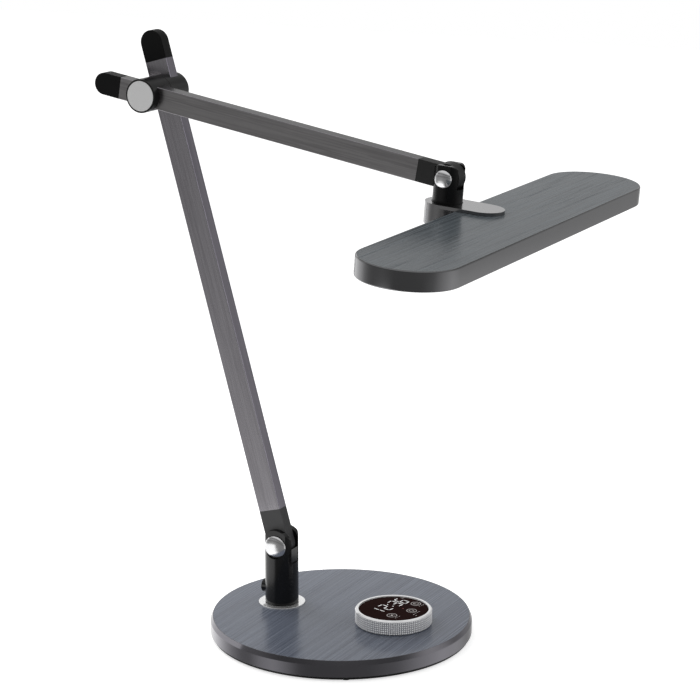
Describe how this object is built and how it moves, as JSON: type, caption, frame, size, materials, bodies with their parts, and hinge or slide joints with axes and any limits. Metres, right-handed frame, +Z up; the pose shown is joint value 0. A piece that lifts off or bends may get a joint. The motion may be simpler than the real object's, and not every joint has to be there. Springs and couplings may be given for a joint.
{
  "type": "swing arm desk lamp",
  "caption": "Desk lamp with a weighted round base, a turning clock dial, a swivelling post, two flat arms joined at an elbow drum and a long flat light panel.",
  "frame": {"origin": "middle of the round base where it stands on the desk", "axes": "+Z up; +X from the post towards the dial and the light panel; every tilt axis runs along Y"},
  "size_m": [0.411, 0.4188, 0.4978],
  "materials": {
    "shell_paint": "satin dark grey paint",
    "rim_grey": "satin dark grey, anodised",
    "bezel_grey": "satin dark grey",
    "brushed_insert": "blue-grey brushed grain, semi-gloss lacquer",
    "ballast_steel": "zinc plated",
    "black_plate": "fine matt black",
    "rubber": "matt black",
    "steel": "plated",
    "satin_silver": "satin silver",
    "knob_silver": "knurled side, polished bevel",
    "washer_polymer": "natural bearing polymer",
    "core_plastic": "moulded dark grey",
    "circuit_board": "green solder mask",
    "display_glass": "glossy dark brown-black lens",
    "magnet_track": "moulded ferrite",
    "post_black": "semi-gloss black",
    "chrome_cap": "polished",
    "wire_cover": "smooth black sleeve",
    "adaptor_grey": "satin dark grey",
    "arm_lower": "brushed along the arm",
    "arm_upper": "brushed along the arm",
    "cap_black": "matt black",
    "drum_black": "satin black",
    "bracket_grey": "cast, light grey satin",
    "reflector_white": "white film",
    "guide_clear": "clear acrylic",
    "led_board": "white board with yellow chips",
    "diffuser_opal": "opal"
  },
  "bodies": {
    "base": {"base_shell": "shell_paint", "base_insert": "brushed_insert", "base_ballast": "ballast_steel", "bottom_plate": "black_plate", "base_feet": "rubber", "base_screws": "steel", "collar_ring": "satin_silver", "swivel_bush": "washer_polymer", "foot_washer": "washer_polymer", "dial_core": "core_plastic", "core_screws": "steel", "display_board": "circuit_board", "display_lens": "display_glass", "control_board": "circuit_board", "board_screws": "steel"},
    "dial": {"knob_ring": "knob_silver", "encoder_track": "magnet_track"},
    "post": {"post": "post_black", "cable_cover": "post_black", "dc_inlet": "post_black", "post_bolt": "steel", "post_caps": "chrome_cap", "post_washers": "washer_polymer", "swivel_spring": "steel", "swivel_nut": "steel", "post_wire": "wire_cover"},
    "lower_arm": {"lower_adaptor": "adaptor_grey", "lower_tube": "arm_lower", "lower_cap": "cap_black", "rear_housing": "drum_black", "elbow_bolt": "steel", "elbow_nut": "steel", "elbow_washer": "washer_polymer", "rear_cover": "drum_black", "lower_wire": "wire_cover"},
    "upper_arm": {"upper_tube": "arm_upper", "upper_cap": "cap_black", "front_housing": "drum_black", "elbow_disc": "satin_silver", "tip_adaptor": "adaptor_grey", "upper_wire": "wire_cover"},
    "yoke": {"head_yoke": "post_black", "head_bolt": "steel", "head_caps": "chrome_cap", "head_washers": "washer_polymer", "head_spring": "steel", "head_nut": "steel"},
    "head": {"head_bracket": "bracket_grey", "drum_cover": "bracket_grey", "bracket_screws": "steel", "head_shell": "rim_grey", "head_skin": "brushed_insert", "driver_board": "circuit_board", "reflector_sheet": "reflector_white", "light_guide": "guide_clear", "led_strips": "led_board", "diffuser": "diffuser_opal", "head_bezel": "bezel_grey"}
  },
  "joints": [
    {"name": "dial_turn", "type": "hinge", "parent": "base", "child": "dial", "pos_m": [0.0492, 0, 0.024], "axis": [0, 0, 1], "continuous": true},
    {"name": "post_swivel", "type": "hinge", "parent": "base", "child": "post", "pos_m": [-0.0573, 0, 0.0179], "axis": [0, 0, 1], "range_deg": [-90, 90]},
    {"name": "lower_arm_tilt", "type": "hinge", "parent": "post", "child": "lower_arm", "pos_m": [-0.0573, 0, 0.0694], "axis": [0, 1, 0], "range_deg": [-24, 55]},
    {"name": "elbow_tilt", "type": "hinge", "parent": "lower_arm", "child": "upper_arm", "pos_m": [-0.16309, -0.0139, 0.44831], "axis": [0, 1, 0], "range_deg": [-75, 20]},
    {"name": "head_tilt", "type": "hinge", "parent": "upper_arm", "child": "yoke", "pos_m": [0.1092, -0.0278, 0.40201], "axis": [0, 1, 0], "range_deg": [-75, 28]},
    {"name": "head_swivel", "type": "hinge", "parent": "yoke", "child": "head", "pos_m": [0.1092, -0.0278, 0.40201], "axis": [0.0802, 0, 0.9968], "range_deg": [-90, 90]}
  ]
}
